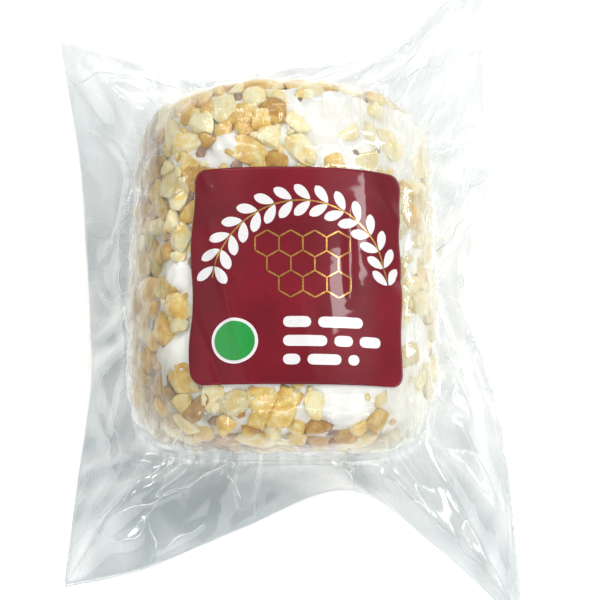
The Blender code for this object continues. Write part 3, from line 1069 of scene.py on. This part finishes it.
def sort_nuts(draw):
    """For each kind of nut: its pieces, with the fineness of each. Under the label, nuts are coarser."""
    large, small, crumbs, under = draw_coating()
    sorted_nuts = {"pale": [], "golden": [], "roasted": [], "skin": []}
    for nuts, detail in ((large, 3), (small, 2), (crumbs, 1), (under, 2)):
        for nut in nuts:
            kind = nut_kind(nut[0], draw)
            skins = SKIN_SHARE + ROASTED_SKIN_SHARE * in_patch(nut[0], ROASTED_PATCHES)
            if kind and nuts is crumbs and draw.random() < skins:
                kind = "skin"
                nut = (*nut[:3], nut[3] * 1.4, nut[4] * 0.5)
            if kind:
                hidden = detail > 1 and nut[0][2] > ROOT_HEIGHT and beside_label(nut[0]) < 0.5
                sorted_nuts[kind].append((nut, detail - hidden))
    return sorted_nuts


class CHEESE_OT_nuts(bpy.types.Operator):
    """Scatter the chopped nuts over the cheese, one piece for each kind"""

    bl_idname = "cheese.nuts"
    bl_label = "Chopped nuts"

    def execute(self, context):
        tones = context.scene.cheese_nuts
        pale, golden = tuple(tones.pale_colour), tuple(tones.golden_colour)
        roasted, skin = tuple(tones.roasted_colour), tuple(tones.skin_colour)
        materials = {
            "pale": nut_material("pale nut", scaled(golden, 1.05), pale, scaled(pale, 1.08), 0.4),
            "golden": nut_material("golden nut", scaled(roasted, 1.15), golden, pale, 0.36),
            "roasted": nut_material("roasted nut", scaled(roasted, 0.7), roasted, golden, 0.34),
            "skin": nut_material("nut skin", scaled(skin, 0.55), skin, scaled(skin, 1.8), 0.45),
        }
        draw = random.Random(LARGE_NUTS["seed"] + 1)
        balls = {detail: ball_arrays(detail + 1) for detail in (1, 2, 3)}
        for kind, nuts in sort_nuts(draw).items():
            points, faces, tone, count = [], [], [], 0
            for nut, detail in nuts:
                ball, ball_faces = balls[detail]
                points.append(chunk_points(ball, nut, draw))
                faces.append(ball_faces + count)
                tone.append(np.full(len(ball), nut_tone_and_shade(nut[0], draw)))
                count += len(ball)
            data = bpy.data.meshes.new(f"nuts_{kind}")
            held = keep_under(np.concatenate(points))
            data.from_pydata(held.tolist(), [], np.concatenate(faces).tolist())
            set_attribute(data, "tone", np.concatenate(tone))
            add_piece(f"nuts_{kind}", data, materials[kind], BAG_NODE)
        return {"FINISHED"}


class CHEESE_OT_film(bpy.types.Operator):
    """Draw the clear film over the nuts, with its folded flange"""

    bl_idname = "cheese.film"
    bl_label = "Film"

    def execute(self, context):
        rows = film_rows()
        row_count, column_count = rows.shape[0] - 1, rows.shape[1]
        mesh = bmesh.new()
        bmesh.ops.create_uvsphere(mesh, u_segments=column_count, v_segments=row_count, radius=1)
        row, column = ball_grid(mesh, column_count, row_count)
        move_vertices(mesh.verts, rows[row, column])
        data = mesh_data("bag_film", mesh)
        for name, values in film_marks(rows, row, column).items():
            set_attribute(data, name, values)
        turns = film_columns()[0][column]
        pull = np.stack((np.cos(turns), np.sin(turns), row / row_count * PULL_LENGTH), axis=-1)
        layer = data.attributes.new("pull", "FLOAT_VECTOR", "POINT")
        layer.data.foreach_set("vector", pull.astype(np.float32).ravel())
        add_piece("bag_film", data, film_material(), BAG_NODE)
        return {"FINISHED"}


def flange_finder():
    """Gives the height of the upper film at a place in plan."""
    first_row = LABEL_ROWS + SHOULDER_ROWS // 2
    last_row = LABEL_ROWS + SHOULDER_ROWS + BRIDGE_ROWS + FLANGE_ROWS
    upper = film_rows()[first_row:last_row + 1].reshape(-1, 3)
    tree = kdtree.KDTree(len(upper))
    for index, point in enumerate(upper):
        tree.insert((point[0], point[1], 0), index)
    tree.balance()

    def height(place):
        found = tree.find_n((place[0], place[1], 0), 4)
        weights = np.array([1 / (distance + 0.05 * MM) for _, _, distance in found])
        return (weights @ upper[[index for _, index, _ in found]][:, 2]) / weights.sum()

    return height


def add_crest(mesh, number, fold, height_at):
    """A thin thread along the crest of one fold, made from a ball. Gives its number of vertices."""
    length = math.dist(fold[:2], fold[2:4]) + abs(fold[4])
    count = max(8, round(length * MM / CREST_STEP))
    made = bmesh.ops.create_uvsphere(mesh, u_segments=CREST_SIDES, v_segments=count, radius=1)["verts"]
    for vertex in made:
        share = math.acos(max(-1, min(1, vertex.co.z))) / math.pi
        bulge = math.sin(math.pi * share)
        heading = unit(fold_point(fold, share + 0.01) - fold_point(fold, share - 0.01))
        left = np.array((-heading[1], heading[0]))
        waver = CREST_WAVER * math.sin(math.tau * share * length / CREST_WAVE + number) * bulge
        here = fold_point(fold, share) + waver * left
        ring = Vector((vertex.co.x, vertex.co.y)).normalized() if 0 < share < 1 else Vector((0, 0))
        slim = bulge**0.4 * (0.6 + 0.4 * math.sin(9 * share + number))
        x, y = here + left * ring.x * CREST_WIDTH / 2 * slim
        vertex.co = (x, y, height_at(here) + 0.05 * MM + (ring.y * 0.5 + 0.3) * CREST_HEIGHT * slim)
    return len(made)


class CHEESE_OT_folds(bpy.types.Operator):
    """Lay the thin white lines of folded film on the flange, in part painted highlights along the creases"""

    bl_idname = "cheese.folds"
    bl_label = "Fold lines"

    def execute(self, context):
        height_at = flange_finder()
        mesh = bmesh.new()
        whiteness = []
        for number, fold in enumerate(FOLDS):
            if fold[7]:
                whiteness += [fold[7]] * add_crest(mesh, number, fold, height_at)
        bmesh.ops.recalc_face_normals(mesh, faces=mesh.faces)
        data = mesh_data("film_folds", mesh)
        set_attribute(data, "haze_and_highlight", whiteness)
        add_piece("film_folds", data, fold_material(), BAG_NODE)
        return {"FINISHED"}


def label_place(across, along, lift):
    """Points on the label, by distances in metres from its middle along the film."""
    label = bpy.context.scene.cheese_label
    x, lengths = wrap_table()
    crest_x = np.interp(across + label.middle_x, lengths, x)
    pointing = unit(np.stack((crest_x, along + label.middle_y, crest_height(crest_x)), axis=-1))
    turn = np.arctan2(pointing[..., 1], pointing[..., 0])
    lean = np.arccos(np.clip(pointing[..., 2], -1, 1))
    points = roll_surface(turn, lean)
    raised = fold_relief(points, LABEL_FOLDS) + lift + FILM_CLEAR
    return points + roll_normals(turn, lean) * raised[..., None]


def rounded_place(across, along, half_width, half_length, corner):
    """Moves a square grid, from -1 to 1, inside a rounded rectangle."""
    size = np.maximum(np.abs(across), np.abs(along))
    shown = np.maximum(size, 1e-9)
    x, y = across / shown * half_width, along / shown * half_length
    over_x = np.abs(x) - (half_width - corner)
    over_y = np.abs(y) - (half_length - corner)
    both = (over_x > 0) & (over_y > 0)
    pull = np.where(both, corner / np.maximum(np.hypot(over_x, over_y), 1e-9), 1)
    x = np.where(both, np.copysign(half_width - corner + over_x * pull, x), x)
    y = np.where(both, np.copysign(half_length - corner + over_y * pull, y), y)
    return x * size, y * size


def add_grid(mesh, place, cells_across, cells_along, lift):
    """A grid whose cells, from -1 to 1, are placed on the label."""
    made = bmesh.ops.create_grid(mesh, x_segments=cells_across, y_segments=cells_along, size=1)["verts"]
    grid = np.array([vertex.co[:2] for vertex in made])
    move_vertices(made, label_place(*place(grid[:, 0], grid[:, 1]), LABEL_GAP + lift))


class CHEESE_OT_label(bpy.types.Operator):
    """Lay the label over the crest of the log"""

    bl_idname = "cheese.label"
    bl_label = "Label"

    def execute(self, context):
        label = context.scene.cheese_label

        def place(across, along):
            edge = smoothstep(0.6, 1, np.abs(across)) * np.sign(across)
            x, y = rounded_place(across, along, label.width / 2, label.length / 2, label.corner)
            return x + edge * 0.35 * MM * np.sin(y / (3.3 * MM) + 0.8 + across), y

        mesh = bmesh.new()
        add_grid(mesh, place, LABEL_GRID, LABEL_GRID, 0)
        sheet = add_piece("label_sheet", mesh_data("label_sheet", mesh), label_material(), LABEL_NODE)
        thickness = sheet.modifiers.new("thickness", "SOLIDIFY")
        thickness.thickness = LABEL_THICKNESS
        thickness.offset = 1
        return {"FINISHED"}


def print_shape(mesh, place, cells_across, cells_along, layer=1):
    """One printed shape, in the first or second layer of ink."""
    add_grid(mesh, place, cells_across, cells_along, LABEL_THICKNESS + layer * PRINT_LIFT)


def turned(across, along, angle, middle):
    cosine, sine = math.cos(angle), math.sin(angle)
    return middle[0] + across * cosine - along * sine, middle[1] + across * sine + along * cosine


def print_leaf(mesh, middle, angle, length, width):
    def place(across, along):
        belly = (1 - across**2) ** 0.7 * (1 + 0.25 * across)
        return turned(across * length / 2, along * width / 2 * belly, angle, middle)
    print_shape(mesh, place, 12, 6)


def print_bar(mesh, middle, angle, length, width):
    def place(across, along):
        x, y = rounded_place(across, along, length / 2, width / 2, width / 2 * 0.98)
        return turned(x, y, angle, middle)
    print_shape(mesh, place, max(4, round(length / PRINT_STEP)), 4)


def print_disc(mesh, middle, radius, layer):
    def place(across, along):
        size = np.maximum(np.abs(across), np.abs(along))
        reach = np.maximum(np.hypot(across, along), 1e-9)
        return middle[0] + across / reach * size * radius, middle[1] + along / reach * size * radius
    print_shape(mesh, place, 36, 36, layer)


def print_arc(mesh, middle, radius, start, end, width):
    def place(across, along):
        angle = start + (end - start) * (across + 1) / 2
        reach = radius + along * width / 2
        return middle[0] + reach * np.cos(angle), middle[1] + reach * np.sin(angle)
    print_shape(mesh, place, max(8, round(abs(end - start) * radius / PRINT_STEP)), 2)


def print_garland(white, gold):
    """An arch of paired leaves on a thin gold stem."""
    middle = (0.4 * MM, -2.6 * MM)
    radius = 17.2 * MM
    pairs = 15
    print_arc(gold, middle, radius, math.radians(8), math.radians(172), 0.3 * MM)
    for number in range(pairs):
        angle = math.radians(10 + 160 * number / (pairs - 1))
        for inner in (-1, 1):
            reach = radius + inner * 1.6 * MM
            spot = (middle[0] + reach * math.cos(angle), middle[1] + reach * math.sin(angle))
            print_leaf(white, spot, angle + math.pi / 2 - inner * 0.75, 4.1 * MM, 1.9 * MM)


def print_honeycomb(gold):
    """A cluster of six sided cells in thin gold lines."""
    size = 2.6 * MM
    cells = ((0, 0), (1, 0), (-1, 0), (0, 1), (-1, 1), (0, -1), (1, -1), (2, -1), (-2, 1), (1, 1))
    edges = set()
    for q, r in cells:
        x = size * math.sqrt(3) * (q + r / 2) + 0.5 * MM
        y = size * 1.5 * r + 2.2 * MM
        turns = [math.tau * step / 6 for step in range(6)]
        corners = [(x + size * math.sin(turn), y + size * math.cos(turn)) for turn in turns]
        corners = [(round(across, 7), round(along, 7)) for across, along in corners]
        for step in range(6):
            edges.add(tuple(sorted((corners[step], corners[(step + 1) % 6]))))
    for start, end in sorted(edges):
        middle = ((start[0] + end[0]) / 2, (start[1] + end[1]) / 2)
        angle = math.atan2(end[1] - start[1], end[0] - start[0])
        print_bar(gold, middle, angle, math.dist(start, end), 0.32 * MM)


def print_lines(white):
    """Rows of plain white bars: the height of each, and the bars' lengths, in millimetres."""
    rows = ((-9.0, (5.2, 8.6)), (-12.6, (8.2, 3.6, 4.4)), (-16.2, (3.2, 6.4, 2.2)))
    for y, lengths in rows:
        x = -3.2
        for length in lengths:
            print_bar(white, ((x + length / 2) * MM, y * MM), 0, length * MM, 2.1 * MM)
            x += length + 1.3


class CHEESE_OT_print(bpy.types.Operator):
    """Print a plain leafy pattern on the label in white, gold and green"""

    bl_idname = "cheese.print"
    bl_label = "Label print"

    def execute(self, context):
        label = context.scene.cheese_label
        white, gold, green = bmesh.new(), bmesh.new(), bmesh.new()
        print_garland(white, gold)
        print_honeycomb(gold)
        print_lines(white)
        badge = (-12.2 * MM, -12.6 * MM)
        print_disc(white, badge, 4.4 * MM, 1)
        print_disc(green, badge, 3.8 * MM, 2)
        for name, mesh, material in (
            ("print_white", white, ink_material("white ink", tuple(label.white), 0.4, 0.0, 0.9)),
            ("print_gold", gold, ink_material("gold ink", tuple(label.gold), 0.35, 0.75, 0.45)),
            ("print_green", green, ink_material("green ink", tuple(label.green), 0.4, 0.0, 0.85)),
        ):
            add_piece(name, mesh_data(name, mesh), material, LABEL_NODE, stands_in=False)
        return {"FINISHED"}


def add_sky(stage):
    """A dome that is dim at the table and overhead, and bright in a ring between."""
    looks = Looks("studio", "worlds")
    direction = looks.add("ShaderNodeTexCoord", {}).outputs["Generated"]
    height = looks.add("ShaderNodeSeparateXYZ", {"Vector": direction}).outputs["Z"]
    walls, zenith = grey(stage.walls / stage.sky), grey(stage.zenith / stage.sky)
    dome = looks.ramp(height, (0, walls), (0.4, walls), (0.62, grey(1)), (0.88, grey(1)), (0.95, zenith))
    bpy.context.scene.world = looks.finish({"Color": dome, "Strength": stage.sky}, "Background")


def add_light(stage, name, setting, share, place, width, height):
    light = bpy.data.lights.new(name, "AREA")
    light.energy = getattr(stage, setting) * share
    light.shape = "RECTANGLE"
    light.size = width
    light.size_y = height
    lamp = bpy.data.objects.new(name, light)
    lamp.location = place
    lamp.rotation_euler = (Vector(LIGHT_TARGET) - Vector(place)).to_track_quat("-Z", "Y").to_euler()
    bpy.context.scene.collection.objects.link(lamp)


def add_camera(stage):
    camera = bpy.data.cameras.new("camera")
    camera.lens = stage.lens
    camera.sensor_width = 36
    camera.clip_start = 0.01
    viewer = bpy.data.objects.new("camera", camera)
    back = Vector((0, -math.cos(stage.elevation), math.sin(stage.elevation)))
    viewer.location = Vector(stage.target) + back * stage.distance
    viewer.rotation_euler = (-back).to_track_quat("-Z", "Y").to_euler()
    bpy.context.scene.collection.objects.link(viewer)
    bpy.context.scene.camera = viewer


class CHEESE_OT_stage(bpy.types.Operator):
    """Set the pale table, the soft lights and the camera"""

    bl_idname = "cheese.stage"
    bl_label = "Stage"

    def execute(self, context):
        stage = context.scene.cheese_stage
        mesh = bmesh.new()
        bmesh.ops.create_grid(mesh, x_segments=4, y_segments=4, size=TABLE_SIZE)
        bmesh.ops.translate(mesh, verts=mesh.verts, vec=(0, 0, -TABLE_DROP))
        link_mesh("table", mesh_data("table", mesh), table_material())
        add_sky(stage)
        for light in LIGHTS:
            add_light(stage, *light)
        add_camera(stage)
        context.scene.view_settings.view_transform = "Standard"
        return {"FINISHED"}


SETTINGS = (
    ("cheese_roll", RollSettings),
    ("cheese_nuts", NutSettings),
    ("cheese_film", FilmSettings),
    ("cheese_label", LabelSettings),
    ("cheese_stage", StageSettings),
)
OPERATORS = (
    CHEESE_OT_core, CHEESE_OT_nuts, CHEESE_OT_film, CHEESE_OT_folds, CHEESE_OT_label, CHEESE_OT_print,
    CHEESE_OT_stage,
)


class CHEESE_PT_panel(bpy.types.Panel):
    """The cheese log's pieces and settings"""

    bl_idname = "CHEESE_PT_panel"
    bl_label = "Cheese Log"
    bl_space_type = "VIEW_3D"
    bl_region_type = "UI"
    bl_category = "Cheese Log"

    def draw(self, context):
        for operator in OPERATORS:
            self.layout.operator(operator.bl_idname)
        for name, settings in SETTINGS:
            box = self.layout.box()
            group = getattr(context.scene, name)
            for key in settings.__annotations__:
                box.prop(group, key)


def register():
    for name, settings in SETTINGS:
        bpy.utils.register_class(settings)
        setattr(bpy.types.Scene, name, bpy.props.PointerProperty(type=settings))
    for kind in (*OPERATORS, CHEESE_PT_panel):
        bpy.utils.register_class(kind)


def unregister():
    for kind in reversed((*OPERATORS, CHEESE_PT_panel)):
        bpy.utils.unregister_class(kind)
    for name, settings in reversed(SETTINGS):
        delattr(bpy.types.Scene, name)
        bpy.utils.unregister_class(settings)


def main():
    register()
    bpy.ops.cheese.core()
    bpy.ops.cheese.nuts()
    bpy.ops.cheese.film()
    bpy.ops.cheese.folds()
    bpy.ops.cheese.label()
    bpy.ops.cheese.print()
    bpy.ops.cheese.stage()


if __name__ == "__main__":
    main()
